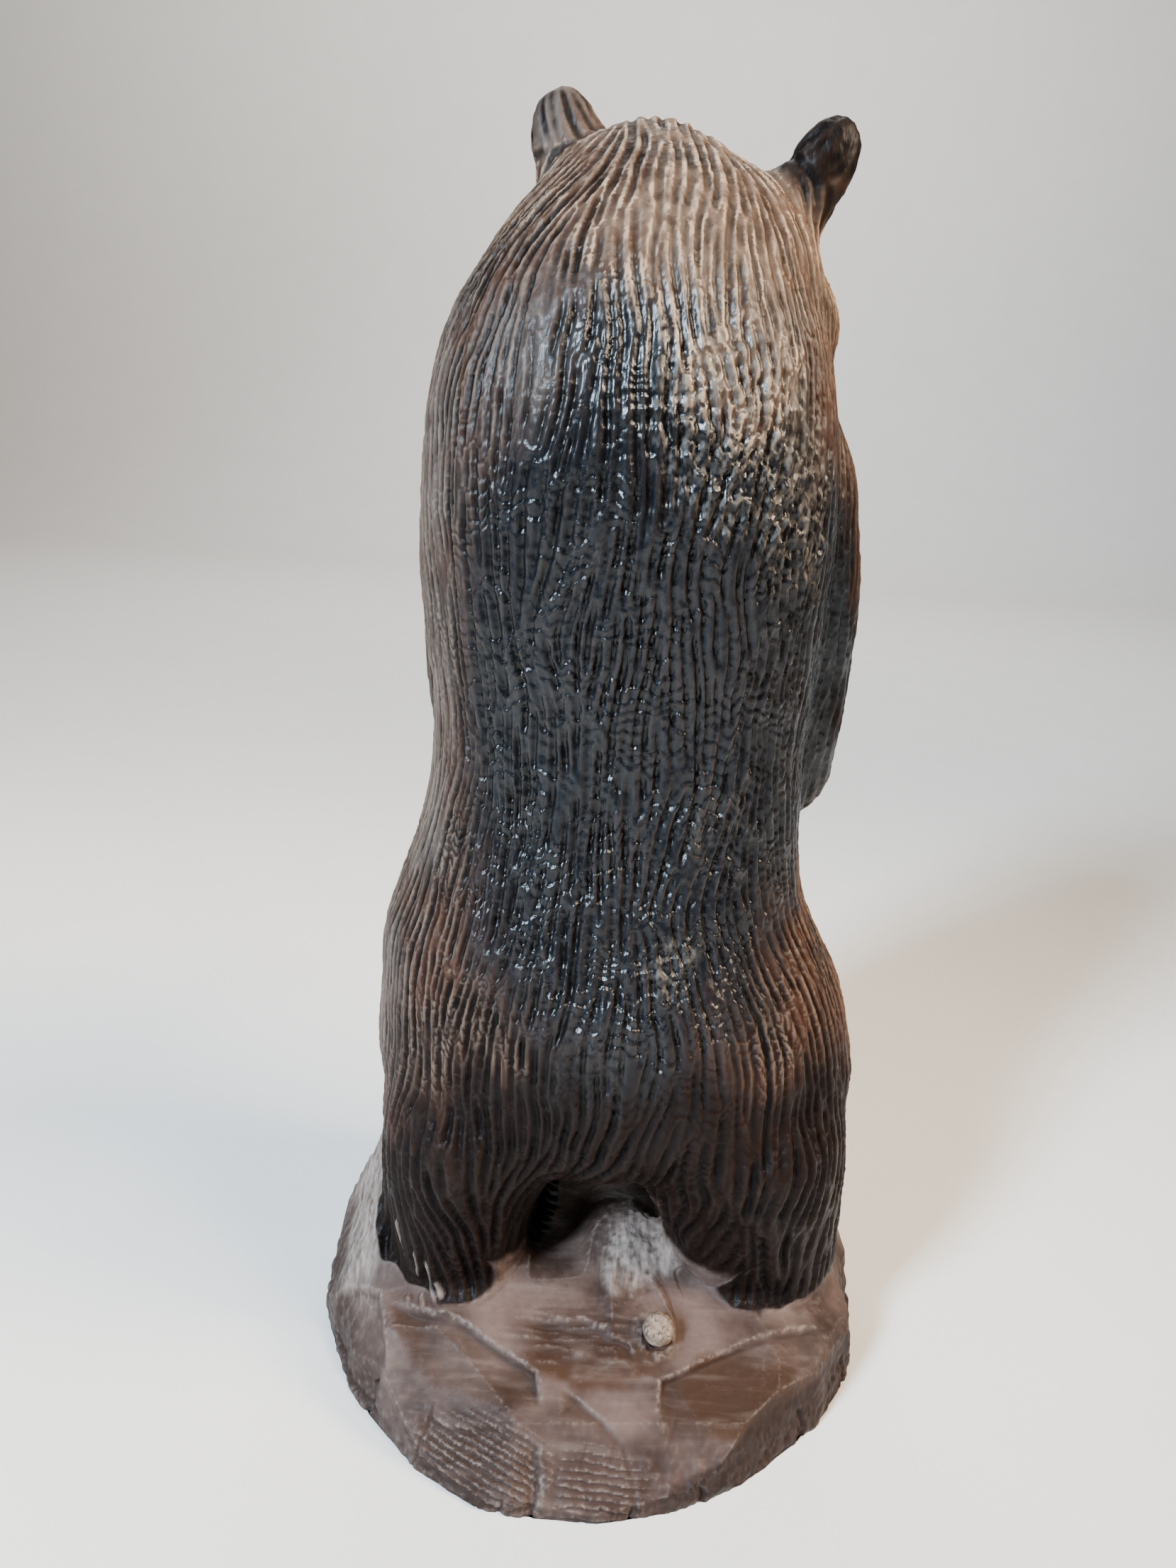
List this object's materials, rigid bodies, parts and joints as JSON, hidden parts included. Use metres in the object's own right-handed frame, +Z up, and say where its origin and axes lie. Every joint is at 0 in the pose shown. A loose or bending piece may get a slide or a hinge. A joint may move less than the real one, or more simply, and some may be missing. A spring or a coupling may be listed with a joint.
{
  "type": "carved wooden bear figurine",
  "caption": "Hand-carved wooden bear that stands upright on a rock mound, with gouged fur and glass eyes.",
  "frame": {"origin": "middle of the mound's flat underside", "axes": "+Z up, the bear's body faces -Y, +X to the bear's left"},
  "size_m": [0.1565, 0.1587, 0.3211],
  "materials": {
    "dark_stained_wood": "dark stain, satin where handled, dusty in the cuts",
    "branch_wood": "bare and dry",
    "black_glass": "polished",
    "steel_wire": "drawn wire"
  },
  "bodies": {
    "root": {"carved_bear": "dark_stained_wood", "branch_knot": "branch_wood", "left_glass_eye": "black_glass", "right_glass_eye": "black_glass", "left_eye_wire": "steel_wire", "right_eye_wire": "steel_wire"}
  },
  "joints": []
}
